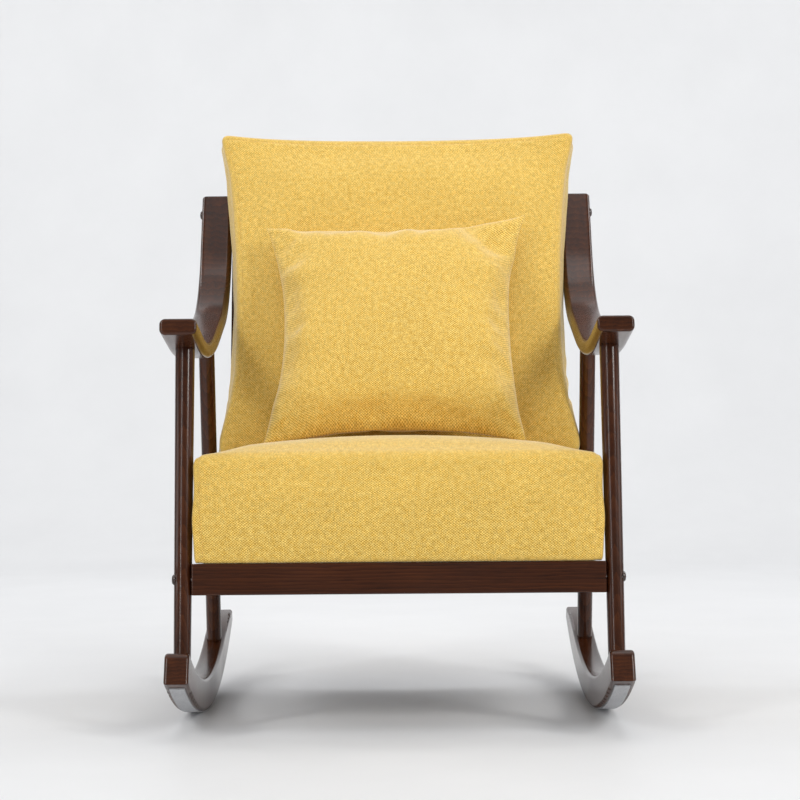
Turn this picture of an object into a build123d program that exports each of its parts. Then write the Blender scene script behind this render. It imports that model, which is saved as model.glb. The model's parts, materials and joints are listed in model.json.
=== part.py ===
from build123d import *

import os
from math import cos, radians, sin

# A rocking chair: two side frames on curved rockers, a slatted seat and a ladder back between them,
# and three loose cushions. Millimetres. X runs across the chair, Y from front to back, Z up.
# The origin is on the floor, under the middle of the whole chair. "Left" is the -X side.
# Points in side view are (distance behind the line where the rockers touch the floor, height).

# Side frames
touch_y = -10.8
side_frame_x = 303
rocking_radius = 860
rocker_width = 34
rocker_depth = 47
rocker_nose_angle = -24.9
rocker_taper_angle = 17
rocker_tip_angle = 26.5
rocker_tip_depth = 21
rocker_nose_rounding = 11
rocker_sole_rounding = 5
rocker_tip_rounding = 6
rocker_edge_rounding = 4.5
strip_width = 21
strip_thickness = 4
strip_proud = 1.5
strip_play = 0.6
strip_end_play_angle = 0.05
strip_nose_angle = -23.7
strip_tip_angle = 24.8

arm_width = 52
arm_thickness = 23
arm_corner = 8
arm_end_rounding = 4
arm_front = (-298, 568)
arm_front_length = 108
arm_front_angle = -10
arm_dip_radius = 560
arm_dip_turn = 26
arm_rise_length = 118
arm_sweep_radius = 215
arm_sweep_turn = 49
arm_top_length = 112

front_leg_foot = (-275, 92)
front_leg_head = (-202, 541)
front_leg_diameters = (24, 28)
rear_leg_foot = (217, 82)
rear_leg_head = (120, 566)
rear_leg_diameters = (24, 25)
leg_overrun = 12
tenon_radius = 8
tenon_length = 15

# Seat
seat_front = (-266, 237)
seat_slope = 4
rail_thickness = 22
rail_depth = 44
rail_end_x = 290.3
board_rounding = 2
rear_rail_y = 467
cleat_width = 18
cleat_depth = 18
slat_count = 7
slat_width = 42
slat_thickness = 12
slat_drop = 2
slat_end_play = 0.5
slat_pitch = 60
first_slat_y = 59
screw_radius = 2
screw_head_radius = 4
screw_length = 24
dowel_radius = 4
dowel_length = 30
dowel_spacing = 22
stile_dowel_spacing = 18

# Back
back_lean = 14.5
back_thickness = 18
stile_outer_x = 277
stile_width = 32
stile_length = 632
stile_cut_allowance = 20
back_rail_width = 46
top_rail_centre = 597
lower_rail_centre = 45
back_slat_count = 4
back_slat_width = 40
back_slat_thickness = 9
back_slat_tenon = 8

# Bolts, nuts and caps
bolt_radius = 3
bolt_head_radius = 6
bolt_head_height = 3
bolt_play = 0.25
leg_bolt_length = 62
arm_bolt_length = 112
arm_bolt_up = 598
leg_cap_x = 313.4
arm_cap_sink = 1
cap_radius = 7.5
cap_height = 4.8
cap_rounding = 3.8
nut_radius = 5
nut_length = 14
nut_from_bolt_end = 8

# Cushions, each a closed cover with its filling left out
seat_cushion_half_width = 286
seat_cushion_depth = 452
seat_cushion_edge = 148
seat_cushion_crown = 185
seat_cushion_rounding = 24
seat_cushion_foot_rounding = 8
seat_cushion_peak = 190
seat_cushion_overhang = 1.5
back_cushion_half_width = 275
back_cushion_top_half_width = 291
back_cushion_foot = 150
back_cushion_flare = 640
back_cushion_top = 724
back_cushion_thickness = 116
back_cushion_foot_set_back = 8
back_cushion_top_set_back = 36
back_cushion_rounding = 20
pillow_half_side = 200
pillow_waist = 12
pillow_half_thickness = 58
pillow_edge_half_thickness = 10
pillow_corner = 14
pillow_foot = (-22, 415)
pillow_lean = 32
seat_cover_wall = 12
seat_filling_rounding = 6
back_cover_wall = 4
pillow_wall = 4
soft_gap = 0.5

CENTRE_DOWN = (Align.CENTER, Align.CENTER, Align.MAX)
CENTRE_UP = (Align.CENTER, Align.CENTER, Align.MIN)
SIDES = {"left": -1, "right": 1}


def at_side(x, back, height):
    """Point in space of a side-view point at a place across the chair."""
    return Vector(x, touch_y + back, height)


def side_plane(x):
    """Upright plane along the chair, whose own axes run back from the touch line and up."""
    return Plane(origin=at_side(x, 0, 0), x_dir=(0, 1, 0), z_dir=(1, 0, 0))


# The seat plane lies on top of the rails, with its own axes to the right and towards the back.
seat_normal = (0, sin(radians(seat_slope)), cos(radians(seat_slope)))
seat_back_way = (0, cos(radians(seat_slope)), -sin(radians(seat_slope)))
seat_plane = Plane(origin=at_side(0, *seat_front), x_dir=(1, 0, 0), z_dir=seat_normal)

# The back plane runs through the middle of the back frame, with its own axes to the right and up the back.
back_normal = (0, -cos(radians(back_lean)), sin(radians(back_lean)))
back_foot = seat_plane.from_local_coords((0, rear_rail_y, 0))
back_plane = Plane(origin=back_foot, x_dir=(1, 0, 0), z_dir=back_normal)
back_side_plane = Plane(origin=back_foot, x_dir=back_normal, z_dir=(-1, 0, 0))


def on_rocking_circle(radius, angle):
    """Side-view point at a radius round the rocking centre, at an angle in degrees behind straight down."""
    return (radius * sin(radians(angle)), rocking_radius - radius * cos(radians(angle)))


def rocking_arc(radius, start, end):
    """Arc round the rocking centre between two angles."""
    middle = (start + end) / 2
    return ThreePointArc(*(on_rocking_circle(radius, angle) for angle in (start, middle, end)))


# Side frames


def make_arc_strip(x, width, outer, inner, start, end):
    """Curved strip of one width between two radii of the rocking circle."""
    with BuildPart() as strip:
        with BuildSketch(side_plane(x)):
            with BuildLine():
                lower = rocking_arc(outer, start, end)
                upper = rocking_arc(inner, start, end)
                Line(lower @ 0, upper @ 0)
                Line(lower @ 1, upper @ 1)
            make_face()
        extrude(amount=width / 2, both=True)
    return strip


def make_rocker_blank(x):
    """Curved rocker, square-cut at the nose and tapering to a thin tip behind the rear leg."""
    sole = rocking_radius - strip_proud
    with BuildPart() as rocker:
        with BuildSketch(side_plane(x)):
            with BuildLine():
                lower = rocking_arc(sole, rocker_nose_angle, rocker_tip_angle)
                upper = rocking_arc(sole - rocker_depth, rocker_nose_angle, rocker_taper_angle)
                tip = on_rocking_circle(sole - rocker_tip_depth, rocker_tip_angle)
                taper = TangentArc(upper @ 1, tip, tangent=upper % 1)
                Line(lower @ 0, upper @ 0)
                Line(lower @ 1, taper @ 1)
            make_face()
            by_distance = vertices().sort_by(Axis.X)
            fillet(by_distance[1], radius=rocker_nose_rounding)
            fillet(by_distance[0], radius=rocker_sole_rounding)
            fillet(by_distance[-2:], radius=rocker_tip_rounding)
        extrude(amount=rocker_width / 2, both=True)
        fillet(faces().filter_by(Axis.X).edges(), radius=rocker_edge_rounding)
        groove = make_arc_strip(
            x,
            strip_width + 2 * strip_play,
            rocking_radius + strip_thickness,
            rocking_radius - strip_thickness,
            strip_nose_angle - strip_end_play_angle,
            strip_tip_angle + strip_end_play_angle,
        )
        add(groove.part, mode=Mode.SUBTRACT)
    return rocker


def make_arm_blank(x):
    """Bent arm: a sagging armrest that sweeps up into a short upright at the back."""
    with BuildLine(side_plane(x)) as path:
        armrest = PolarLine(start=arm_front, length=arm_front_length, angle=arm_front_angle)
        dip = JernArc(start=armrest @ 1, tangent=armrest % 1, radius=arm_dip_radius, arc_size=arm_dip_turn)
        rise = PolarLine(start=dip @ 1, length=arm_rise_length, direction=dip % 1)
        sweep_up = JernArc(start=rise @ 1, tangent=rise % 1, radius=arm_sweep_radius, arc_size=arm_sweep_turn)
        PolarLine(start=sweep_up @ 1, length=arm_top_length, direction=sweep_up % 1)
    wire = path.wires()[0]
    with BuildPart() as arm:
        with BuildSketch(Plane(origin=wire @ 0, x_dir=(1, 0, 0), z_dir=wire % 0)):
            RectangleRounded(arm_width, arm_thickness, arm_corner)
        sweep(path=wire)
        ends = faces().filter_by(GeomType.PLANE).sort_by(Axis.Y)
        fillet((ends[0].edges(), ends[-1].edges()), radius=arm_end_rounding)
    return arm


def make_leg(x, foot, head, diameters, arm, rocker):
    """Tapered round leg shaped to the arm and rocker that it meets, with a tenon into each."""
    low, high = at_side(x, *foot), at_side(x, *head)
    length = (high - low).length
    base = Plane(origin=low, x_dir=(1, 0, 0), z_dir=high - low)
    with BuildPart() as leg:
        with Locations(base.offset(-leg_overrun)):
            Cone(diameters[0] / 2, diameters[1] / 2, length + 2 * leg_overrun, align=CENTRE_UP)
        add(arm.part, mode=Mode.SUBTRACT)
        add(rocker.part, mode=Mode.SUBTRACT)
        with Locations(base.offset(-tenon_length)):
            Cylinder(tenon_radius, length + 2 * tenon_length, align=CENTRE_UP)
    return leg


# Boards of the seat and the back


def make_board(plane, size, centre, thickness, rounding=board_rounding):
    """Board drawn on a plane and extruded below it, with softened edges."""
    with BuildPart() as board:
        with BuildSketch(plane):
            with Locations(centre):
                Rectangle(*size)
        extrude(amount=-thickness)
        fillet(edges(), radius=rounding)
    return board


def cut(piece, *cutters):
    """Copy of a piece with the shapes of other pieces cut out of it."""
    with BuildPart() as result:
        add(piece.part)
        for cutter in cutters:
            add(cutter.part, mode=Mode.SUBTRACT)
    return result


# Fasteners


def bolt_planes(cap_x, point):
    """The planes under the two bolt caps at one side-view place, facing outwards."""
    return [
        Plane(origin=(side * cap_x, point.Y, point.Z), x_dir=(0, 1, 0), z_dir=(side, 0, 0)) for side in (-1, 1)
    ]


def make_bolts(planes, length):
    """Flat-headed connector bolts, heads flush with their planes."""
    with BuildPart() as bolts:
        with Locations(*planes):
            Cylinder(bolt_head_radius, bolt_head_height, align=CENTRE_DOWN)
            Cylinder(bolt_radius, length, align=CENTRE_DOWN)
    return bolts


def make_bolt_holes(planes, length):
    """Shape of the cap's flat, the head's counterbore and the shank's clearance hole."""
    with BuildPart() as holes:
        with Locations(*planes):
            Cylinder(cap_radius + bolt_play, 2 * cap_height, align=CENTRE_UP)
            Cylinder(bolt_head_radius + bolt_play, bolt_head_height, align=CENTRE_DOWN)
            Cylinder(bolt_radius + bolt_play, length, align=CENTRE_DOWN)
    return holes


def make_caps(planes):
    """Domed caps over the bolt heads."""
    with BuildPart() as cap:
        Cylinder(cap_radius, cap_height, align=CENTRE_UP)
        fillet(edges().group_by(Axis.Z)[-1], radius=cap_rounding)
    with BuildPart() as caps:
        with Locations(*planes):
            add(cap.part)
    return caps


def make_nuts(planes, length, nut_axis):
    """Barrel nuts across the ends of the bolts."""
    with BuildPart() as nuts:
        for plane in planes:
            centre = plane.offset(nut_from_bolt_end - length).origin
            with Locations(Plane(origin=centre, x_dir=(1, 0, 0), z_dir=nut_axis)):
                Cylinder(nut_radius, nut_length)
        with Locations(*planes):
            Cylinder(bolt_radius, length, align=CENTRE_DOWN, mode=Mode.SUBTRACT)
    return nuts


def make_dowels(plane, points):
    """Dowels square to a plane, half on each side of it."""
    with BuildPart() as dowels:
        with BuildSketch(plane):
            with Locations(*points):
                Circle(dowel_radius)
        extrude(amount=dowel_length / 2, both=True)
    return dowels


def make_slat_screws():
    """Countersunk screws through both ends of every seat slat."""
    with BuildPart() as screw:
        with BuildSketch(Plane.XZ):
            with BuildLine():
                Polyline(
                    (0, 0),
                    (screw_head_radius, 0),
                    (screw_radius, screw_radius - screw_head_radius),
                    (screw_radius, screw_radius - screw_length),
                    (0, -screw_length),
                    close=True,
                )
            make_face()
        revolve(axis=Axis.Z)
    with BuildPart(seat_plane.offset(-slat_drop)) as screws:
        with Locations(*((side * cleat_x, y) for side in (-1, 1) for y in slat_places)):
            add(screw.part)
    return screws


# Cushions


def make_seat_cushion():
    """Boxy seat cushion with a crowned top."""
    corner = seat_plane.from_local_coords((0, -seat_cushion_overhang, soft_gap))
    front_view = Plane(origin=corner, x_dir=(1, 0, 0), z_dir=[-way for way in seat_back_way])
    side_view = Plane(origin=corner, x_dir=seat_back_way, z_dir=(1, 0, 0))
    half_width = seat_cushion_half_width
    edge = seat_cushion_edge
    with BuildPart() as cushion:
        with BuildSketch(front_view):
            with BuildLine():
                top = ThreePointArc((half_width, edge), (0, seat_cushion_crown), (-half_width, edge))
                Polyline(top @ 1, (-half_width, 0), (half_width, 0), top @ 0)
            make_face()
            fillet(vertices().group_by(Axis.Y)[-1], radius=seat_cushion_rounding)
            fillet(vertices().group_by(Axis.Y)[0], radius=seat_cushion_foot_rounding)
        extrude(amount=-seat_cushion_depth)
        with BuildSketch(side_view):
            with BuildLine():
                peak = (seat_cushion_peak, seat_cushion_crown)
                top = ThreePointArc((seat_cushion_depth, edge), peak, (0, edge))
                Polyline(top @ 1, (0, 0), (seat_cushion_depth, 0), top @ 0)
            make_face()
            fillet(vertices().group_by(Axis.Y)[-1], radius=seat_cushion_rounding)
            fillet(vertices().group_by(Axis.Y)[0], radius=seat_cushion_foot_rounding)
        extrude(amount=half_width, both=True, mode=Mode.INTERSECT)
    return cushion


def make_seat_filling():
    """Space of the seat cushion's filling, inside its cover."""
    size = (2 * (seat_cushion_half_width - seat_cover_wall), seat_cushion_depth - 2 * seat_cover_wall)
    centre = (0, seat_cushion_depth / 2 - seat_cushion_overhang)
    top = seat_plane.offset(soft_gap + seat_cushion_edge - seat_cover_wall)
    return make_board(top, size, centre, seat_cushion_edge - 2 * seat_cover_wall, seat_filling_rounding)


def back_cushion_side(inset):
    """Side view of the back cushion, thickest low down, shrunk by an inset."""
    rear = back_thickness / 2 + soft_gap + inset
    front = rear + back_cushion_thickness - 2 * inset
    foot = back_cushion_foot + inset
    top = back_cushion_top - inset
    with BuildSketch(back_side_plane) as side:
        with BuildLine():
            face = ThreePointArc(
                (front - back_cushion_foot_set_back, foot),
                (front, (foot + top) / 2),
                (front - back_cushion_top_set_back, top),
            )
            Polyline(face @ 1, (rear, top), (rear, foot), face @ 0)
        make_face()
        fillet(vertices(), radius=back_cushion_rounding - inset)
    return side.sketch


def make_back_cushion():
    """Back cushion: narrow between the arms, wider above them."""
    half_width, top_half_width = back_cushion_half_width, back_cushion_top_half_width
    with BuildPart() as cushion:
        with BuildSketch(back_plane):
            with BuildLine():
                Polyline(
                    (-half_width, back_cushion_foot),
                    (half_width, back_cushion_foot),
                    (half_width, back_cushion_flare),
                    (top_half_width, back_cushion_top),
                    (-top_half_width, back_cushion_top),
                    (-half_width, back_cushion_flare),
                    close=True,
                )
            make_face()
            fillet(vertices().group_by(Axis.Y)[-1], radius=back_cushion_rounding)
            fillet(vertices().group_by(Axis.Y)[0], radius=back_cushion_rounding)
        extrude(amount=2 * back_cushion_thickness)
        extrude(back_cushion_side(0), amount=top_half_width, both=True, mode=Mode.INTERSECT)
    return cushion


def make_back_filling():
    """Space of the back cushion's filling, inside its cover."""
    with BuildPart() as filling:
        extrude(back_cushion_side(back_cover_wall), amount=back_cushion_half_width - back_cover_wall, both=True)
    return filling


def make_pillow(inset):
    """Square scatter cushion, thick in the middle and thin at its edges, shrunk by an inset."""
    lean = radians(pillow_lean)
    foot = at_side(0, *pillow_foot)
    up = Vector(0, sin(lean), cos(lean))
    front_way = (0, -cos(lean), sin(lean))
    centre = foot + up * pillow_half_side
    half = pillow_half_side - 2 * inset  # the filling stops short of the sewn edge
    waist = half - pillow_waist
    thick = pillow_half_thickness - inset
    views = (Plane(origin=centre, x_dir=(1, 0, 0), z_dir=up), Plane(origin=centre, x_dir=up, z_dir=(1, 0, 0)))
    with BuildPart() as pillow:
        with BuildSketch(Plane(origin=centre, x_dir=(1, 0, 0), z_dir=front_way)):
            with BuildLine():
                corners = [(-half, -half), (half, -half), (half, half), (-half, half)]
                middles = [(0, -waist), (waist, 0), (0, waist), (-waist, 0)]
                for number, middle in enumerate(middles):
                    ThreePointArc(corners[number], middle, corners[(number + 1) % 4])
            make_face()
            fillet(vertices(), radius=pillow_corner)
        extrude(amount=thick, both=True)
        for view in views:
            with BuildSketch(view):
                with BuildLine():
                    edge = pillow_edge_half_thickness - inset
                    front = ThreePointArc((-half, edge), (0, thick), (half, edge))
                    back = ThreePointArc((-half, -edge), (0, -thick), (half, -edge))
                    Line(front @ 0, back @ 0)
                    Line(front @ 1, back @ 1)
                make_face()
            extrude(amount=half, both=True, mode=Mode.INTERSECT)
    return pillow


def save(name, piece):
    """Label a finished piece and write its file."""
    piece.part.label = name
    export_step(piece.part, f"parts/{name}.step")


os.makedirs("parts", exist_ok=True)

# Shared places
arm_cap_x = side_frame_x + arm_width / 2 - arm_cap_sink
side_rail_x = rail_end_x - rail_thickness / 2
cleat_x = rail_end_x - rail_thickness - cleat_width / 2
front_rail_y = rail_thickness / 2
side_rail_length = rear_rail_y - rail_thickness / 2 - rail_thickness
side_rail_y = rail_thickness + side_rail_length / 2
slat_places = [first_slat_y + number * slat_pitch for number in range(slat_count)]
stile_x = stile_outer_x - stile_width / 2
stile_inner_x = stile_outer_x - stile_width
front_bolts = bolt_planes(leg_cap_x, seat_plane.from_local_coords((0, front_rail_y, -rail_depth / 2)))
rear_bolts = bolt_planes(leg_cap_x, seat_plane.from_local_coords((0, rear_rail_y, -rail_depth / 2)))
arm_bolts = bolt_planes(arm_cap_x, back_plane.from_local_coords((0, arm_bolt_up, 0)))

# Fasteners
leg_bolt_holes = make_bolt_holes(front_bolts + rear_bolts, leg_bolt_length)
arm_bolt_holes = make_bolt_holes(arm_bolts, arm_bolt_length)
leg_nuts = make_nuts(front_bolts + rear_bolts, leg_bolt_length, seat_back_way)
arm_nuts = make_nuts(arm_bolts, arm_bolt_length, back_normal)
save("leg_bolts", make_bolts(front_bolts + rear_bolts, leg_bolt_length))
save("arm_bolts", make_bolts(arm_bolts, arm_bolt_length))
save("leg_barrel_nuts", leg_nuts)
save("arm_barrel_nuts", arm_nuts)
save("bolt_caps", make_caps(front_bolts + rear_bolts + arm_bolts))

# Side frames
for name, side in SIDES.items():
    x = side * side_frame_x
    rocker = make_rocker_blank(x)
    arm = make_arm_blank(x)
    front_leg = make_leg(x, front_leg_foot, front_leg_head, front_leg_diameters, arm, rocker)
    rear_leg = make_leg(x, rear_leg_foot, rear_leg_head, rear_leg_diameters, arm, rocker)
    strip = make_arc_strip(
        x, strip_width, rocking_radius, rocking_radius - strip_thickness, strip_nose_angle, strip_tip_angle
    )
    save(f"{name}_rocker", cut(rocker, front_leg, rear_leg))
    save(f"{name}_rocker_strip", strip)
    save(f"{name}_arm", cut(arm, front_leg, rear_leg, arm_bolt_holes))
    save(f"{name}_front_leg", cut(front_leg, leg_bolt_holes))
    save(f"{name}_rear_leg", cut(rear_leg, leg_bolt_holes))

# Seat frame: rails between the legs, cleats on the side rails, slats on the cleats
corner_points = [
    (side * side_rail_x, dowel_spacing * (end - 0.5) - rail_depth / 2) for side in (-1, 1) for end in (0, 1)
]
front_joint = Plane(
    origin=seat_plane.from_local_coords((0, rail_thickness, 0)),
    x_dir=(1, 0, 0),
    z_dir=[-way for way in seat_back_way],
)
rear_joint = front_joint.offset(-side_rail_length)
front_dowels = make_dowels(front_joint, corner_points)
rear_dowels = make_dowels(rear_joint, corner_points)
stile_dowels = make_dowels(
    seat_plane,
    [(side * stile_x + way * stile_dowel_spacing / 2, rear_rail_y) for side in (-1, 1) for way in (-1, 1)],
)
screws = make_slat_screws()
with BuildPart() as seat_dowels:
    add(front_dowels.part)
    add(rear_dowels.part)
save("seat_dowels", seat_dowels)
save("stile_dowels", stile_dowels)
save("slat_screws", screws)

front_rail = make_board(seat_plane, (2 * rail_end_x, rail_thickness), (0, front_rail_y), rail_depth)
rear_rail = make_board(seat_plane, (2 * rail_end_x, rail_thickness), (0, rear_rail_y), rail_depth)
save("front_seat_rail", cut(front_rail, leg_bolt_holes, leg_nuts, front_dowels))
save("rear_seat_rail", cut(rear_rail, leg_bolt_holes, leg_nuts, rear_dowels, stile_dowels))
for name, side in SIDES.items():
    rail_size = (rail_thickness, side_rail_length)
    rail = make_board(seat_plane, rail_size, (side * side_rail_x, side_rail_y), rail_depth)
    cleat_size = (cleat_width, side_rail_length)
    cleat_plane = seat_plane.offset(-slat_drop - slat_thickness)
    cleat = make_board(cleat_plane, cleat_size, (side * cleat_x, side_rail_y), cleat_depth)
    save(f"{name}_seat_rail", cut(rail, front_dowels, rear_dowels))
    save(f"{name}_seat_cleat", cut(cleat, screws))
slat_length = 2 * (rail_end_x - rail_thickness - slat_end_play)
for number, y in enumerate(slat_places, start=1):
    slat = make_board(seat_plane.offset(-slat_drop), (slat_length, slat_width), (0, y), slat_thickness)
    save(f"seat_slat_{number}", cut(slat, screws))

# Back frame: two stiles on the rear seat rail, a rail at each end and slats between
front_face = back_plane.offset(back_thickness / 2)
slat_face = back_plane.offset(back_slat_thickness / 2)
rail_gap = top_rail_centre - lower_rail_centre
back_slats = []
for number in range(1, back_slat_count + 1):
    up = lower_rail_centre + number * rail_gap / (back_slat_count + 1)
    size = (2 * (stile_inner_x + back_slat_tenon), back_slat_width)
    back_slats.append(make_board(slat_face, size, (0, up), back_slat_thickness))
    save(f"back_slat_{number}", back_slats[-1])
back_rail_size = (2 * stile_inner_x, back_rail_width)
top_rail = make_board(front_face, back_rail_size, (0, top_rail_centre), back_thickness)
lower_rail = make_board(front_face, back_rail_size, (0, lower_rail_centre), back_thickness)
with BuildPart() as back_dowels:
    for side in (-1, 1):
        dowel_middle = back_plane.from_local_coords((side * stile_inner_x, lower_rail_centre, 0))
        add(make_dowels(Plane(origin=dowel_middle, z_dir=(side, 0, 0)), [(0, 0)]).part)
save("back_dowels", back_dowels)
save("back_top_rail", cut(top_rail, arm_bolt_holes, arm_nuts))
save("back_lower_rail", cut(lower_rail, back_dowels))
for name, side in SIDES.items():
    with BuildPart() as stile:
        with BuildSketch(front_face):
            with Locations((side * stile_x, (stile_length - stile_cut_allowance) / 2)):
                Rectangle(stile_width, stile_length + stile_cut_allowance)
        extrude(amount=-back_thickness)
        fillet(edges(), radius=board_rounding)
        split(bisect_by=seat_plane, keep=Keep.TOP)
    save(f"{name}_back_stile", cut(stile, stile_dowels, back_dowels, arm_bolt_holes, *back_slats))

# Cushions
save("seat_cushion", cut(make_seat_cushion(), make_seat_filling()))
save("back_cushion", cut(make_back_cushion(), make_back_filling()))
save("throw_pillow", cut(make_pillow(0), make_pillow(pillow_wall)))
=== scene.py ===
import json
import math

import bpy
import numpy as np
from mathutils import Matrix, Vector
from mathutils.bvhtree import BVHTree


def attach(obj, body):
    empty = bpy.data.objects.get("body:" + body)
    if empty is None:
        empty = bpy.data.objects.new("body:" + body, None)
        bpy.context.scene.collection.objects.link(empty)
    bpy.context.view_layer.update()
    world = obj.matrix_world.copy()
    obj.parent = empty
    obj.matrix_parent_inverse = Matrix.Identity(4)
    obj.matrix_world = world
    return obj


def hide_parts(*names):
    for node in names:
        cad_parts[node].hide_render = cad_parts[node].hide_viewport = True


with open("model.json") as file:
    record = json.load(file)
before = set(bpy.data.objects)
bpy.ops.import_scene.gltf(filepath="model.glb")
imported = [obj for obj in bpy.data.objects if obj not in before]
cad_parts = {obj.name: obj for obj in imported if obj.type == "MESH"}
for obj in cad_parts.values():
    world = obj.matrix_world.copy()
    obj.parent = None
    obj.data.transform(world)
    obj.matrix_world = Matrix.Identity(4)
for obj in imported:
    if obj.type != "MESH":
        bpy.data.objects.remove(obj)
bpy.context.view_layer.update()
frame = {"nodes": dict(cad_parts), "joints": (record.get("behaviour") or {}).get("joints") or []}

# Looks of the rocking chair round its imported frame. Metres, Z up, the chair faces -Y, "left" is -X.

scene = bpy.context.scene
nodes = frame["nodes"]
MM = 0.001


# ---------------------------------------------------------------- camera, stage and light

CAMERA_PLACE = (0.0, -3.113, 0.450)
CAMERA_LENS = 91.3
CAMERA_SENSOR = 36.0
CAMERA_ROLL = math.radians(0.45)
CAMERA_SHIFT = (0.003, 0.0125)

camera = bpy.data.objects.new("camera", bpy.data.cameras.new("camera"))
camera.location = CAMERA_PLACE
camera.rotation_euler = (math.radians(90), CAMERA_ROLL, 0)
camera.data.lens = CAMERA_LENS
camera.data.sensor_width = CAMERA_SENSOR
camera.data.shift_x, camera.data.shift_y = CAMERA_SHIFT
scene.collection.objects.link(camera)
scene.camera = camera
scene.view_settings.view_transform = "Standard"


def new_object(name, points, faces, smooth=True):
    """Mesh object from points and faces."""
    mesh = bpy.data.meshes.new(name)
    mesh.from_pydata([tuple(p) for p in points], [], [tuple(int(i) for i in f) for f in faces])
    mesh.polygons.foreach_set("use_smooth", [smooth] * len(mesh.polygons))
    mesh.update()
    piece = bpy.data.objects.new(name, mesh)
    scene.collection.objects.link(piece)
    return piece


def softbox(name, place, target, size, power, colour):
    """Rectangular area light, (width, height) in size, that faces a target."""
    light = bpy.data.lights.new(name, "AREA")
    light.shape = "RECTANGLE"
    light.size, light.size_y = size
    light.energy = power
    light.color = colour
    lamp = bpy.data.objects.new(name, light)
    lamp.location = place
    lamp.rotation_euler = (Vector(target) - Vector(place)).to_track_quat("-Z", "Y").to_euler()
    scene.collection.objects.link(lamp)


NEUTRAL = (1.0, 1.0, 1.0)
CHAIR_MIDDLE = (0.0, 0.0, 0.45)
# Name, place, target, size, power and colour
SOFTBOXES = (
    ("sky", (0.0, 0.5, 3.4), (0.0, 0.5, 0.0), (4.0, 5.2), 58, NEUTRAL),
    ("overhead", (0.15, -0.35, 2.6), (0.0, -0.05, 0.0), (1.2, 1.0), 6, NEUTRAL),
    ("key", (2.0, -2.1, 1.9), CHAIR_MIDDLE, (0.6, 1.4), 41, (1.0, 0.985, 0.96)),
    ("key_left", (-1.9, -2.1, 2.0), CHAIR_MIDDLE, (0.4, 0.8), 19, (1.0, 0.99, 0.97)),
    ("fill", (-1.5, -2.5, 1.0), CHAIR_MIDDLE, (0.22, 1.7), 12, (0.97, 0.985, 1.0)),
    ("floor_left", (-2.5, -0.5, 0.6), (0.0, 0.0, 0.0), (1.4, 0.5), 4, NEUTRAL),
    ("floor_right", (2.5, -0.5, 0.6), (0.0, 0.0, 0.0), (1.4, 0.5), 4, NEUTRAL),
    ("backdrop_left", (-2.6, 1.0, 2.4), (-0.8, 3.6, 0.9), (1.6, 1.6), 48, NEUTRAL),
    ("backdrop_right", (2.6, 1.0, 2.4), (0.8, 3.6, 0.9), (1.6, 1.6), 48, NEUTRAL),
)
WORLD_COLOUR = (0.95, 0.97, 1.0, 1)
WORLD_STRENGTH = 0.25

for box in SOFTBOXES:
    softbox(*box)

world = bpy.data.worlds.new("studio")
world.use_nodes = True
background = world.node_tree.nodes["Background"].inputs
background["Color"].default_value = WORLD_COLOUR
background["Strength"].default_value = WORLD_STRENGTH
scene.world = world

STAGE_HALF_WIDTH = 7.0
STAGE_FRONT = -6.0
STAGE_BACK = 2.6
STAGE_CURVE = 1.6
STAGE_TOP = 6.0
STAGE_CURVE_STEPS = 24


def make_stage():
    """Studio floor that curves up into a backdrop."""
    curve = [math.radians(90 * n / STAGE_CURVE_STEPS) for n in range(STAGE_CURVE_STEPS + 1)]
    rise = [(STAGE_BACK + STAGE_CURVE * math.sin(a), STAGE_CURVE * (1 - math.cos(a))) for a in curve]
    profile = [(STAGE_FRONT, 0.0), *rise, (STAGE_BACK + STAGE_CURVE, STAGE_TOP)]
    points = [(side * STAGE_HALF_WIDTH, y, z) for y, z in profile for side in (-1, 1)]
    faces = [(2 * n, 2 * n + 1, 2 * n + 3, 2 * n + 2) for n in range(len(profile) - 1)]
    return new_object("studio_floor", points, faces)


# ---------------------------------------------------------------- materials


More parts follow.
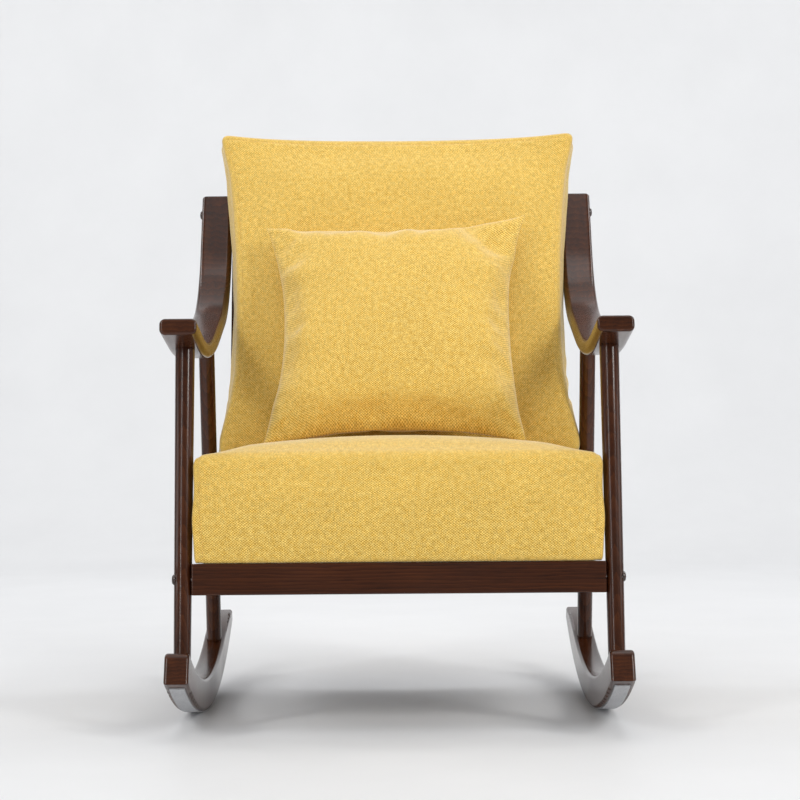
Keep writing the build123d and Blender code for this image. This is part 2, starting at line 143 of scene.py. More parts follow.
class Finish:
    """A node material on a Principled shader, with short ways to add nodes."""

    def __init__(self, name, roughness, **sockets):
        self.material = bpy.data.materials.new(name)
        self.material.use_nodes = True
        self.tree = self.material.node_tree
        self.shader = self.tree.nodes["Principled BSDF"]
        self.put(self.shader.inputs["Roughness"], roughness)
        for socket, value in sockets.items():
            self.shader.inputs[socket.replace("_", " ")].default_value = value

    def put(self, socket, value):
        if isinstance(value, bpy.types.NodeSocket):
            self.tree.links.new(value, socket)
        else:
            socket.default_value = value

    def add(self, kind, inputs, output=0, **settings):
        node = self.tree.nodes.new(kind)
        for setting, value in settings.items():
            setattr(node, setting, value)
        for socket, value in inputs.items():
            self.put(node.inputs[socket], value)
        return node.outputs[output]

    def place(self):
        """Position in the piece's own axes."""
        return self.add("ShaderNodeTexCoord", {}, "Object")

    def cloth_place(self):
        """Position on the flat cloth, in metres."""
        return self.add("ShaderNodeUVMap", {}, uv_map="cloth")

    def math(self, operation, first, second=0.0, clamp=False):
        return self.add("ShaderNodeMath", {0: first, 1: second}, operation=operation, use_clamp=clamp)

    def split(self, vector):
        node = self.tree.nodes.new("ShaderNodeSeparateXYZ")
        self.put(node.inputs[0], vector)
        return node.outputs

    def stretch(self, vector, scale):
        return self.add("ShaderNodeVectorMath", {0: vector, 1: scale}, operation="MULTIPLY")

    def noise(self, vector, scale=1.0, detail=2.0, roughness=0.5, distortion=0.0):
        inputs = {
            "Vector": vector, "Scale": scale, "Detail": detail, "Roughness": roughness,
            "Distortion": distortion,
        }
        return self.add("ShaderNodeTexNoise", inputs)

    def ramp(self, factor, stops):
        """Colour ramp through (position, colour or grey) stops."""
        node = self.tree.nodes.new("ShaderNodeValToRGB")
        while len(node.color_ramp.elements) < len(stops):
            node.color_ramp.elements.new(1.0)
        for element, (position, value) in zip(node.color_ramp.elements, stops):
            element.position = position
            element.color = (*value, 1) if isinstance(value, tuple) else (value, value, value, 1)
        self.put(node.inputs["Fac"], factor)
        return node.outputs["Color"]

    def mix(self, factor, first, second, blend="MIX"):
        node = self.tree.nodes.new("ShaderNodeMix")
        node.data_type = "RGBA"
        node.blend_type = blend
        for socket, value in zip((0, 6, 7), (factor, first, second)):
            self.put(node.inputs[socket], (*value, 1) if isinstance(value, tuple) else value)
        return node.outputs[2]

    def bump(self, height, distance, strength=1.0, normal=None):
        inputs = {"Height": height, "Distance": distance, "Strength": strength}
        if normal is not None:
            inputs["Normal"] = normal
        return self.add("ShaderNodeBump", inputs)

    def finish(self, colour, normal=None, roughness=None):
        self.put(self.shader.inputs["Base Color"], colour)
        if normal is not None:
            self.put(self.shader.inputs["Normal"], normal)
        if roughness is not None:
            self.put(self.shader.inputs["Roughness"], roughness)
        return self.material


# Wood: dark stain with a satin lacquer. The grain runs along each part.
STAIN_DARK = (0.027, 0.0075, 0.0024)
STAIN_MID = (0.049, 0.0130, 0.0034)
STAIN_LIGHT = (0.088, 0.0250, 0.0062)
WORN_EDGE = (0.17, 0.075, 0.04)
EDGE_SOFTNESS = 1.6 * MM
# How often each pattern repeats in a metre: along the grain, across it, through it
FIGURE_STRETCH = (3.5, 42, 42)
RING_STRETCH = (1.2, 10, 10)
PORE_STRETCH = (26, 1100, 1100)


def grain_place(finish, along, turn_centre=None):
    """Position with the grain along X: from a straight axis, or round a turning centre in the side view."""
    place = finish.place()
    if turn_centre is None:
        x, y, z = finish.split(place)
        order = {"X": (x, y, z), "Y": (y, x, z), "Z": (z, x, y)}[along]
        return finish.add("ShaderNodeCombineXYZ", dict(enumerate(order)))
    centre = (0, *turn_centre)
    x, y, z = finish.split(finish.add("ShaderNodeVectorMath", {0: place, 1: centre}, operation="SUBTRACT"))
    angle = finish.math("ARCTAN2", y, finish.math("MULTIPLY", z, -1.0))
    squares = [finish.math("MULTIPLY", side, side) for side in (y, z)]
    radius = finish.math("SQRT", finish.math("ADD", *squares))
    return finish.add("ShaderNodeCombineXYZ", {0: angle, 1: x, 2: radius})


def stained_wood(name, along, turn_centre=None, offset=0.0):
    finish = Finish(name, 0.3, Coat_Weight=0.14, Coat_Roughness=0.09, Specular_IOR_Level=0.30)
    grain = grain_place(finish, along, turn_centre)
    grain = finish.add("ShaderNodeVectorMath", {0: grain, 1: (offset, offset, offset)}, operation="ADD")
    figure = finish.noise(finish.stretch(grain, FIGURE_STRETCH), detail=3.0, distortion=0.8)
    rings = finish.add(
        "ShaderNodeTexWave",
        {"Vector": finish.stretch(grain, RING_STRETCH), "Scale": 6.0, "Distortion": 5.0, "Detail": 3.0,
         "Detail Scale": 1.4},
        "Fac", wave_type="BANDS", bands_direction="Z", wave_profile="SAW",
    )
    pores = finish.noise(finish.stretch(grain, PORE_STRETCH), detail=2.0, roughness=0.6)
    tone = finish.math("ADD", finish.math("MULTIPLY", figure, 0.62), finish.math("MULTIPLY", rings, 0.22))
    colour = finish.ramp(tone, [(0.22, STAIN_DARK), (0.45, STAIN_MID), (0.72, STAIN_LIGHT)])
    pore_mask = finish.ramp(pores, [(0.34, 0.62), (0.47, 1.0)])
    colour = finish.mix(1.0, colour, pore_mask, "MULTIPLY")
    soft_normal = finish.add("ShaderNodeBevel", {"Radius": EDGE_SOFTNESS}, samples=6)
    true_normal = finish.add("ShaderNodeNewGeometry", {}, "True Normal")
    normals = {0: soft_normal, 1: true_normal}
    facing = finish.add("ShaderNodeVectorMath", normals, "Value", operation="DOT_PRODUCT")
    edge = finish.ramp(facing, [(0.80, 1.0), (0.96, 0.0)])
    patches = finish.ramp(finish.noise(finish.place(), 55.0, 3.0, 0.65), [(0.56, 0.0), (0.68, 0.55)])
    worn = finish.math("MULTIPLY", edge, patches, clamp=True)
    colour = finish.mix(worn, colour, WORN_EDGE)
    smears = finish.noise(finish.place(), 9.0, 3.0)
    roughness = finish.ramp(smears, [(0.3, 0.18), (0.7, 0.27)])
    orange_peel = finish.noise(finish.place(), 260.0, 1.0)
    height = finish.math("ADD", finish.math("MULTIPLY", orange_peel, 0.25), pore_mask)
    normal = finish.bump(height, 0.05 * MM, 0.5, soft_normal)
    return finish.finish(colour, normal, roughness)


# Upholstery: heavy plain weave, cream warp over ochre weft, slubbed and heathered.
WARP_PITCH = 2.2 * MM
WEFT_PITCH = 1.8 * MM
WARP_COLOUR = (1.0, 0.74, 0.225)
WEFT_COLOUR = (0.40, 0.190, 0.010)
HEATHER_DEEP = (0.70, 0.41, 0.046)
HEATHER_PALE = (0.88, 0.63, 0.165)
THREAD_WANDER = 2.2 * MM
SLUBS_ACROSS = (110, 560, 1)
SLUBS_UP = (470, 100, 1)


def upholstery(name):
    finish = Finish(
        name, 0.86, Sheen_Weight=0.8, Sheen_Roughness=0.36, Sheen_Tint=(1.0, 0.95, 0.80, 1.0),
        Specular_IOR_Level=0.25,
    )
    cloth = finish.cloth_place()
    wobble = finish.add("ShaderNodeTexNoise", {"Vector": cloth, "Scale": 240.0, "Detail": 2.0}, "Color")
    wobble = finish.add("ShaderNodeVectorMath", {0: wobble, 1: (0.5, 0.5, 0.5)}, operation="SUBTRACT")
    wobble = finish.stretch(wobble, (THREAD_WANDER, THREAD_WANDER, 0.0))
    thread_place = finish.add("ShaderNodeVectorMath", {0: cloth, 1: wobble}, operation="ADD")
    waves = [
        finish.math("SINE", finish.math("MULTIPLY", place, math.pi / pitch))
        for place, pitch in zip(finish.split(thread_place), (WARP_PITCH, WEFT_PITCH))
    ]
    over = finish.math("MULTIPLY", *waves)
    over_share = finish.math("ADD", finish.math("MULTIPLY", over, 0.5), 0.5)
    slub_along = finish.noise(finish.stretch(cloth, SLUBS_ACROSS), detail=2.0)
    slub_up = finish.noise(finish.stretch(cloth, SLUBS_UP), detail=2.0)
    fuzz = finish.noise(cloth, 620.0, 2.0, 0.7)
    patch = finish.noise(cloth, 130.0, 3.0, 0.55)
    cloud = finish.noise(cloth, 14.0, 2.0, 0.5)
    thread = finish.mix(finish.ramp(over_share, [(0.34, 0.0), (0.64, 1.0)]), WEFT_COLOUR, WARP_COLOUR)
    heather = finish.mix(finish.ramp(patch, [(0.36, 0.0), (0.66, 1.0)]), HEATHER_DEEP, HEATHER_PALE)
    colour = finish.mix(0.42, thread, heather)
    slubs = finish.math("MULTIPLY", finish.math("ADD", slub_along, slub_up), 0.5)
    shades = (
        (0.5, slubs, [(0.36, 0.58), (0.52, 1.0), (0.66, 1.32)]),
        (0.5, cloud, [(0.3, 0.94), (0.7, 1.04)]),
        (0.6, fuzz, [(0.30, 0.72), (0.68, 1.2)]),
    )
    for share, pattern, stops in shades:
        colour = finish.mix(share, colour, finish.ramp(pattern, stops), "MULTIPLY")
    height = finish.math("ADD", finish.math("MULTIPLY", over_share, 0.7), finish.math("MULTIPLY", fuzz, 0.45))
    normal = finish.bump(height, 0.55 * MM, 0.75)
    return finish.finish(colour, normal)


def thread_material():
    finish = Finish("sewing_thread", 0.6, Sheen_Weight=0.3)
    twist = finish.noise(finish.place(), 1400.0, 2.0)
    colour = finish.ramp(twist, [(0.35, (0.50, 0.29, 0.05)), (0.65, (0.74, 0.47, 0.11))])
    return finish.finish(colour, finish.bump(twist, 0.1 * MM, 0.6))


def strip_material():
    """Pale anti-slip strip with a fine woven texture."""
    finish = Finish("anti_slip_strip", 0.72)
    place = finish.place()
    cells = finish.add("ShaderNodeTexVoronoi", {"Vector": place, "Scale": 520.0, "Randomness": 0.7}, "Distance")
    blotch = finish.noise(place, 40.0, 3.0)
    colour = finish.ramp(cells, [(0.05, (0.26, 0.265, 0.28)), (0.55, (0.50, 0.505, 0.52))])
    colour = finish.mix(0.6, colour, finish.ramp(blotch, [(0.3, 0.82), (0.7, 1.0)]), "MULTIPLY")
    return finish.finish(colour, finish.bump(cells, 0.3 * MM, 0.7))


def plain_wood(name, pale, deep):
    """Unstained beech, as on the dowels."""
    finish = Finish(name, 0.55)
    fibres = finish.noise(finish.stretch(finish.place(), (60, 700, 700)), detail=3.0)
    colour = finish.ramp(fibres, [(0.3, deep), (0.7, pale)])
    return finish.finish(colour, finish.bump(fibres, 0.08 * MM, 0.5))


def steel_material():
    finish = Finish("zinc_plated_steel", 0.34, Metallic=1.0, Anisotropic=0.35)
    brush = finish.noise(finish.stretch(finish.place(), (120, 1600, 1600)), detail=2.0)
    colour = finish.ramp(brush, [(0.3, (0.50, 0.50, 0.51)), (0.7, (0.66, 0.66, 0.68))])
    return finish.finish(colour, finish.bump(brush, 0.03 * MM, 0.4))


def cap_material():
    """Dark brown moulded plastic with a slightly scuffed gloss."""
    finish = Finish("cap_plastic", 0.22, Coat_Weight=0.25, Coat_Roughness=0.1)
    scuff = finish.noise(finish.place(), 480.0, 3.0, 0.6)
    colour = finish.ramp(scuff, [(0.3, (0.020, 0.009, 0.006)), (0.7, (0.040, 0.018, 0.012))])
    roughness = finish.ramp(scuff, [(0.35, 0.18), (0.7, 0.34)])
    return finish.finish(colour, finish.bump(scuff, 0.03 * MM, 0.3), roughness)


def stage_material():
    finish = Finish("studio_paper", 0.55, Specular_IOR_Level=0.3)
    mottle = finish.noise(finish.place(), 3.0, 4.0, 0.6)
    colour = finish.ramp(mottle, [(0.3, (0.73, 0.735, 0.745)), (0.7, (0.76, 0.765, 0.775))])
    return finish.finish(colour)


# ---------------------------------------------------------------- cloth pieces


def local_axes(side, up):
    """Axes of a piece: across, along and out of its face."""
    side, up = Vector(side), Vector(up)
    return np.array([side, up, side.cross(up)])


def node_points(name):
    return np.array([v.co for v in nodes[name].data.vertices])


def node_extent(name, axes):
    """Lowest and highest local coordinates of a CAD node."""
    points = node_points(name) @ axes.T
    return points.min(0), points.max(0)


def joint_axis(name):
    return next(joint["axis"] for joint in frame["joints"] if joint["name"] == name)


def spaced(half, cell, marks=()):
    """Grid positions from -half to half, close to cell apart, through the marks on both sides."""
    stops = sorted({-half, half, *marks, *(-m for m in marks)})
    line = [stops[0]]
    for low, high in zip(stops, stops[1:]):
        count = max(1, round((high - low) / cell))
        line += [low + (high - low) * n / count for n in range(1, count + 1)]
    return np.array(line)


NO_LENGTH = 1e-9


def rounded(points, half, radius):
    """Points of a box's surface, moved onto the same box with rounded edges."""
    radius = radius[:, None]
    inner = np.clip(points, -(half - radius), half - radius)
    out = points - inner
    return inner + radius * out / np.maximum(np.linalg.norm(out, axis=1, keepdims=True), NO_LENGTH)


SAME_PLACE = 1e-7
# Metres between the panels of one cover on its cloth map
PANEL_MAP_GAP = 3.0


class Pad:
    """A closed cloth cover on a box-shaped grid. Its cloth UVs are metres on the flat cloth."""

    def __init__(self, name, lines, place):
        counts = [len(line) for line in lines]
        half = np.array([line[-1] for line in lines])
        lattice, quads, uvs = [], [], []
        for axis in range(3):
            across, along = [a for a in range(3) if a != axis]
            a, b = np.meshgrid(range(counts[across]), range(counts[along]), indexing="ij")
            for end in (0, counts[axis] - 1):
                spot = np.zeros((*a.shape, 3), int)
                spot[..., across], spot[..., along], spot[..., axis] = a, b, end
                corners = [spot[:-1, :-1], spot[1:, :-1], spot[1:, 1:], spot[:-1, 1:]]
                if (end == 0) != (axis == 1):
                    corners.reverse()
                quads.append(np.stack(corners, 2).reshape(-1, 4, 3))
        quads = np.concatenate(quads)
        keys = (quads[..., 0] * counts[1] + quads[..., 1]) * counts[2] + quads[..., 2]
        unique, self.faces = np.unique(keys, return_inverse=True)
        self.faces = self.faces.reshape(-1, 4)
        self.spot = np.stack([unique // (counts[1] * counts[2]), unique // counts[2] % counts[1],
                              unique % counts[2]], 1)
        self.flat = np.stack([lines[a][self.spot[:, a]] for a in range(3)], 1)
        self.half = half
        self.counts = counts
        points = place(self.flat)
        self.piece = new_object(name, points, self.faces)
        self.write_cloth_map()

    def write_cloth_map(self):
        """Cloth coordinates of each face corner, by the way the face looks on the flat box."""
        corner = self.flat[self.faces]
        spread = np.ptp(corner, axis=1)
        looks = spread.argmin(1)
        across = np.where(looks == 0, 1, 0)
        along = np.where(looks == 2, 1, 2)
        index = np.arange(len(self.faces))
        u = corner[index, :, across]
        v = corner[index, :, along]
        v = v + np.where(looks == 2, self.half[2] + self.half[1], 0)[:, None] + looks[:, None] * PANEL_MAP_GAP
        layer = self.piece.data.uv_layers.new(name="cloth")
        layer.data.foreach_set("uv", np.stack([u, v], 2).astype(np.float32).ravel())

    def where(self, axis, position):
        """Vertex numbers at a distance from the middle along an axis, on both sides."""
        return np.flatnonzero(np.abs(np.abs(self.flat[:, axis]) - position) < SAME_PLACE)


def points_of(piece):
    points = np.empty(len(piece.data.vertices) * 3)
    piece.data.vertices.foreach_get("co", points)
    return points.reshape(-1, 3)


def normals_of(piece):
    return np.array([v.normal for v in piece.data.vertices])


def set_points(piece, points):
    piece.data.vertices.foreach_set("co", np.asarray(points, np.float32).ravel())
    piece.data.update()


def calmed(piece, moved, passes):
    """Movements evened out between neighbouring points."""
    edges = np.empty(2 * len(piece.data.edges), np.int32)
    piece.data.edges.foreach_get("vertices", edges)
    ends = edges.reshape(-1, 2)
    count = np.bincount(edges, minlength=len(moved))[:, None]
    for _ in range(passes):
        total = np.zeros_like(moved)
        np.add.at(total, ends[:, 0], moved[ends[:, 1]])
        np.add.at(total, ends[:, 1], moved[ends[:, 0]])
        moved = 0.5 * moved + 0.5 * total / count
    return moved


CLOTH_QUALITY = 6
CLOTH_MASS = 0.3


def inflate(piece, pressure, frames, cap, calm, seams, shrink, stiffness, bending, pinned=()):
    """Swell a cover by cloth simulation, with no gravity, and keep each point within the cap."""
    rest = points_of(piece)
    cloth = piece.modifiers.new("cloth", "CLOTH")
    settings = cloth.settings
    settings.quality = CLOTH_QUALITY
    settings.mass = CLOTH_MASS
    settings.tension_stiffness = stiffness
    settings.compression_stiffness = stiffness
    settings.shear_stiffness = stiffness / 3
    settings.bending_stiffness = bending
    settings.use_pressure = True
    settings.uniform_pressure_force = pressure
    settings.effector_weights.gravity = 0.0
    if len(pinned):
        piece.vertex_groups.new(name="pinned").add([int(i) for i in pinned], 1.0, "REPLACE")
        settings.vertex_group_mass = "pinned"
    piece.vertex_groups.new(name="seams").add([int(i) for i in seams], 1.0, "REPLACE")
    settings.vertex_group_shrink = "seams"
    settings.shrink_max = shrink
    cloth.point_cache.frame_end = frames
    for number in range(1, frames + 1):
        scene.frame_set(number)
    graph = bpy.context.evaluated_depsgraph_get()
    swollen = piece.evaluated_get(graph).to_mesh()
    moved = np.array([v.co for v in swollen.vertices]) - rest
    piece.evaluated_get(graph).to_mesh_clear()
    piece.modifiers.remove(cloth)
    scene.frame_set(1)
    length = np.linalg.norm(moved, axis=1, keepdims=True)
    limited = cap * np.tanh(length / cap)
    moved *= limited / np.maximum(length, NO_LENGTH)
    set_points(piece, rest + calmed(piece, moved, calm))


SEAM_SINK = 1.6 * MM


def sink(piece, vertices):
    """Draw a seam's points into the filling."""
    points = points_of(piece)
    points[vertices] -= normals_of(piece)[vertices] * SEAM_SINK
    set_points(piece, points)


def subdivide(piece):
    """Smooth the mesh and keep the result as its own mesh."""
    modifier = piece.modifiers.new("smooth", "SUBSURF")
    modifier.levels = 1
    modifier.render_levels = 1
    modifier.uv_smooth = "PRESERVE_BOUNDARIES"
    graph = bpy.context.evaluated_depsgraph_get()
    smooth = bpy.data.meshes.new_from_object(piece.evaluated_get(graph))
    piece.modifiers.remove(modifier)
    piece.data = smooth


STITCH_LENGTH = 3.4 * MM
STITCH_GAP = 1.6 * MM
THREAD_RADIUS = 0.42 * MM
THREAD_SIDES = 6
# Rings of one stitch: share of its length, height above the cloth and girth in thread radii
STITCH_SHAPE = np.array(
    [(0.0, -0.8, 0.35), (0.18, 0.3, 0.9), (0.5, 0.7, 1.0), (0.82, 0.3, 0.9), (1.0, -0.8, 0.35)]
)


def make_stitches(name, paths):
    """Row of separate thread loops along each path of (points, normals)."""
    points, faces = [], []
    for path, normals in paths:
        steps = np.linalg.norm(np.diff(path, axis=0), axis=1)
        run = np.concatenate([[0], np.cumsum(steps)])
        starts = np.arange(STITCH_GAP, run[-1] - STITCH_LENGTH, STITCH_LENGTH + STITCH_GAP)
        for start in starts:
            sample = start + STITCH_LENGTH * STITCH_SHAPE[:, 0]
            centre = np.stack([np.interp(sample, run, path[:, a]) for a in range(3)], 1)
            out = np.stack([np.interp(sample, run, normals[:, a]) for a in range(3)], 1)
            out /= np.linalg.norm(out, axis=1, keepdims=True)
            ahead = centre[-1] - centre[0]
            ahead /= np.linalg.norm(ahead)
            side = np.cross(out, ahead)
            lift, girth = THREAD_RADIUS * STITCH_SHAPE[:, 1], THREAD_RADIUS * STITCH_SHAPE[:, 2]
            base = len(points)
            rings = len(STITCH_SHAPE)
            for ring in range(rings):
                for n in range(THREAD_SIDES):
                    angle = 2 * math.pi * n / THREAD_SIDES
                    spoke = math.cos(angle) * side[ring] + math.sin(angle) * out[ring]
                    points.append(centre[ring] + out[ring] * lift[ring] + girth[ring] * spoke)
            for ring in range(rings - 1):
                for n in range(THREAD_SIDES):
                    a = base + ring * THREAD_SIDES + n
                    b = base + ring * THREAD_SIDES + (n + 1) % THREAD_SIDES
                    faces.append((a, b, b + THREAD_SIDES, a + THREAD_SIDES))
            faces.append(tuple(base + n for n in reversed(range(THREAD_SIDES))))
            faces.append(tuple(base + (rings - 1) * THREAD_SIDES + n for n in range(THREAD_SIDES)))
    return new_object(name, points, faces)


def smoothstep(value, low, high):
    share = np.clip((value - low) / (high - low), 0, 1)
    return share * share * (3 - 2 * share)


def surface_of(piece, origin, axes):
    """Search tree of a piece's surface, in the shared frame."""
    points = [Vector(p) for p in points_of(piece) @ axes + origin]
    return BVHTree.FromPolygons(points, [tuple(face.vertices) for face in piece.data.polygons])


PRESS_SPREAD = 5
PRESS_GAP = 0.6 * MM


def press_out(piece, origin, axes, surface, way):
    """Move a piece's points that lie inside another surface out of it, along one way in the shared frame."""
    way = Vector(way)
    points = points_of(piece) @ axes + origin
    depth = np.zeros(len(points))
    for number, point in enumerate(points):
        point = Vector(point)
        hit = surface.ray_cast(point + way, -way)[0]
        if hit is not None:
            depth[number] = max(0.0, (hit - point).dot(way) + PRESS_GAP)
    if depth.max() > 0:
        spread = calmed(piece, depth[:, None], PRESS_SPREAD)[:, 0]
        moved = np.maximum(depth, spread)[:, None] * np.array(way)
        set_points(piece, points_of(piece) + moved @ axes.T)


def settle(piece, origin, axes, body, node):
    """Put a cover made in local axes in its place, and let it stand for its CAD node."""
    matrix = Matrix([list(row) for row in axes]).transposed().to_4x4()
    matrix.translation = Vector(origin)
    piece.matrix_world = matrix
    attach(piece, body)
    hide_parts(node)


def stitch_path(piece, vertices, origin, axes):
    """Points and normals along a row of vertices, in the shared frame."""
    normals = normals_of(piece)[vertices] @ axes
    return points_of(piece)[vertices] @ axes + origin, normals


def add_stitches(name, paths, body):
    stitches = make_stitches(name, paths)
    stitches.data.materials.append(thread)
    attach(stitches, body)


fabric = upholstery("yellow_weave")
thread = thread_material()
SHARED_AXES = np.identity(3)
SHARED_ORIGIN = np.zeros(3)
SIDES = {"left": -1, "right": 1}

# Seat cushion
SEAT_CELL = 6.0 * MM
SEAT_SEAM_IN = 6.5 * MM
SEAT_STITCH_IN = 12.5 * MM
SEAT_TOP_ROUNDING = 17 * MM
SEAT_FOOT_ROUNDING = 4 * MM
SEAT_CROWN_SHARE = 0.155
SEAT_CROWN_REACH = 0.86
SEAT_CROWN_POWERS = (2.1, 2.2)
SEAT_SIDE_BULGE = 3.4 * MM
SEAT_FRONT_FLARE = 5.0 * MM
SEAT_CLEAR_HALF_WIDTH = 288.9 * MM
LEG_LEAD = (3 * MM, 26 * MM)
SEAT_PEAK_SHARE = 0.42
SEAT_ROUNDING_SPAN = (0.2, 0.7)
SEAT_BULGE_SPAN = (0.0, 0.55)

seat_axes = local_axes((1, 0, 0), [-a for a in joint_axis("seat_cushion_out")])
seat_low, seat_high = node_extent("seat_cushion", seat_axes)
seat_crown = SEAT_CROWN_SHARE * (seat_high[2] - seat_low[2])
seat_half = (seat_high - seat_low) / 2
seat_half[2] -= seat_crown / 2
seat_middle = (seat_high + seat_low) / 2
seat_middle[2] -= seat_crown / 2


def lead(points, share):
    """How far points are ahead of the front legs: 1 on the cushion's front face, 0 from the legs on."""
    reach = LEG_LEAD[0] + (LEG_LEAD[1] - LEG_LEAD[0]) * share
    return 1 - smoothstep((points[:, 1] + seat_half[1]) / reach, 0, 1)


def place_seat(flat):
    share = (flat[:, 2] + seat_half[2]) / (2 * seat_half[2])
    growth = smoothstep(share, *SEAT_ROUNDING_SPAN)
    radius = SEAT_FOOT_ROUNDING + (SEAT_TOP_ROUNDING - SEAT_FOOT_ROUNDING) * growth
    points = rounded(flat, seat_half, radius)
    across = 1 - np.abs(points[:, 0] / seat_half[0]) ** SEAT_CROWN_POWERS[0]
    peak = (2 * SEAT_PEAK_SHARE - 1) * seat_half[1]
    reach = np.where(points[:, 1] < peak, peak + seat_half[1], seat_half[1] - peak)
    along = 1 - np.abs((points[:, 1] - peak) / reach) ** SEAT_CROWN_POWERS[1]
    points[:, 2] += SEAT_CROWN_REACH * seat_crown * across * along * share ** 2
    bulge = SEAT_SIDE_BULGE + SEAT_FRONT_FLARE * lead(points, share)
    points[:, 0] *= 1 + bulge / seat_half[0] * smoothstep(share, *SEAT_BULGE_SPAN)
    return points


def clear_of_legs(pad):
    """Keep the sides from the front legs back narrow enough to slide out between them."""
    points = points_of(pad.piece)
    share = (pad.flat[:, 2] + seat_half[2]) / (2 * seat_half[2])
    room = np.where(lead(points, share) > 0, SEAT_CLEAR_HALF_WIDTH + SEAT_FRONT_FLARE, SEAT_CLEAR_HALF_WIDTH)
    points[:, 0] = np.clip(points[:, 0], -room, room)
    set_points(pad.piece, points)


def make_seat_cushion():
    marks = (0.5 * SEAT_SEAM_IN, SEAT_SEAM_IN, SEAT_STITCH_IN)
    lines = [
        spaced(seat_half[0], SEAT_CELL, [seat_half[0] - m for m in marks]),
        spaced(seat_half[1], SEAT_CELL),
        spaced(seat_half[2], SEAT_CELL),
    ]
    pad = Pad("seat_cushion_cover", lines, place_seat)
    seam = pad.where(0, seat_half[0] - SEAT_SEAM_IN)
    bottom = np.flatnonzero(pad.spot[:, 2] == 0)
    inflate(
        pad.piece, pressure=3.0, frames=14, cap=6 * MM, calm=24, pinned=bottom, seams=seam, shrink=0.03,
        stiffness=25.0, bending=2.0,
    )
    sink(pad.piece, seam)
    clear_of_legs(pad)
    subdivide(pad.piece)
    return pad


def seat_stitch_rows(pad):
    """Rows of vertices beside each side seam, up the front, over the top and down the rear."""
    rear, top = pad.counts[1] - 1, pad.counts[2] - 1
    rows = []
    for side in (-1, 1):
        row = pad.where(0, seat_half[0] - SEAT_STITCH_IN)
        row = row[np.sign(pad.flat[row, 0]) == side]
        along, up = pad.spot[row, 1], pad.spot[row, 2]
        keep = (along == 0) | (along == rear) | (up == top)
        row, along, up = row[keep], along[keep], up[keep]
        run = np.where(along == 0, up, np.where(up == top, top + along, rear + 2 * top - up))
        rows.append(row[np.argsort(run)])
    return rows


seat_pad = make_seat_cushion()
seat_origin = seat_middle @ seat_axes
for side, sign in SIDES.items():
    for leg in ("_front_leg", "_rear_leg"):
        leg_surface = surface_of(nodes[side + leg], SHARED_ORIGIN, SHARED_AXES)
        press_out(seat_pad.piece, seat_origin, seat_axes, leg_surface, (-sign, 0, 0))
seat_surface = surface_of(seat_pad.piece, seat_origin, seat_axes)
settle(seat_pad.piece, seat_origin, seat_axes, "seat_cushion", "seat_cushion")
seat_pad.piece.data.materials.append(fabric)
add_stitches(
    "seat_side_stitches",
    [stitch_path(seat_pad.piece, row, seat_origin, seat_axes) for row in seat_stitch_rows(seat_pad)],
    "seat_cushion",
)


# Back cushion
BACK_CELL = 6.0 * MM
BACK_SEAM_IN = 9.0 * MM
BACK_ROUNDING = 16 * MM
BACK_TOP_TAPER = 41.4 * MM
BACK_FOOT_TAPER = 8 * MM
BACK_TOP_SAG = 12 * MM
BACK_CROWN = 7 * MM
BACK_TAPER_SPANS = ((-0.3, 1.3), (0.2, 1.0))
BACK_SAG_SPAN = (0.2, 1.0)
# Height from foot (-1) to top (1), and the half width there in millimetres
BACK_OUTLINE = ((-1.0, 299), (-0.9, 298), (-0.8, 291), (-0.68, 281), (-0.5, 272), (-0.3, 269), (-0.1, 270),
                (0.25, 275), (0.5, 280), (0.75, 289), (0.9, 299), (1.0, 306))
BACK_ASIDE = 3 * MM
BACK_SLIDE_STOPS = (0.0, 0.25, 0.5, 0.75, 1.0)

back_normal = Vector(joint_axis("throw_pillow_off"))
back_axes = local_axes((1, 0, 0), back_normal.cross(Vector((1, 0, 0))))
back_low, back_high = node_extent("back_cushion", back_axes)
back_half = (back_high - back_low) / 2
back_middle = (back_high + back_low) / 2


def place_back(flat):
    points = rounded(flat, back_half, np.full(len(flat), BACK_ROUNDING))
    up = points[:, 1] / back_half[1]
    across = points[:, 0] / back_half[0]
    heights, widths = np.array(BACK_OUTLINE).T
    points[:, 0] *= np.interp(up, heights, widths) * MM / back_half[0]
    points[:, 0] += BACK_ASIDE
    front_share = (points[:, 2] + back_half[2]) / (2 * back_half[2])
    taper = BACK_TOP_TAPER * smoothstep(up, *BACK_TAPER_SPANS[0])
    taper += BACK_FOOT_TAPER * smoothstep(-up, *BACK_TAPER_SPANS[1])
    crown = BACK_CROWN * (1 - across ** 4) * (1 - up ** 4)
    points[:, 2] += front_share * (crown - taper - BACK_CROWN)
    points[:, 1] -= BACK_TOP_SAG * (1 - across ** 2) * smoothstep(up, *BACK_SAG_SPAN)
    return points


def back_seam(pad, end):
    """Seam round the front or rear panel, a little in from its edges."""
    past = (np.abs(pad.flat[:, :2]) - (back_half[:2] - BACK_SEAM_IN)).max(1)
    on_panel = pad.flat[:, 2] * end > back_half[2] - SAME_PLACE
    return np.flatnonzero((np.abs(past) < SAME_PLACE) & on_panel)


def make_back_cushion():
    marks = (0.5 * BACK_SEAM_IN, BACK_SEAM_IN, 1.5 * BACK_SEAM_IN)
    lines = [
        spaced(back_half[0], BACK_CELL, [back_half[0] - m for m in marks]),
        spaced(back_half[1], BACK_CELL, [back_half[1] - m for m in marks]),
        spaced(back_half[2], BACK_CELL),
    ]
    pad = Pad("back_cushion_cover", lines, place_back)
    seam = np.concatenate([back_seam(pad, 1), back_seam(pad, -1)])
    rear = np.flatnonzero(pad.spot[:, 2] == 0)
    inflate(
        pad.piece, pressure=3.5, frames=16, cap=12 * MM, calm=60, pinned=rear, seams=seam, shrink=0.05,
        stiffness=18.0, bending=1.0,
    )
    sink(pad.piece, seam)
    subdivide(pad.piece)
    return pad


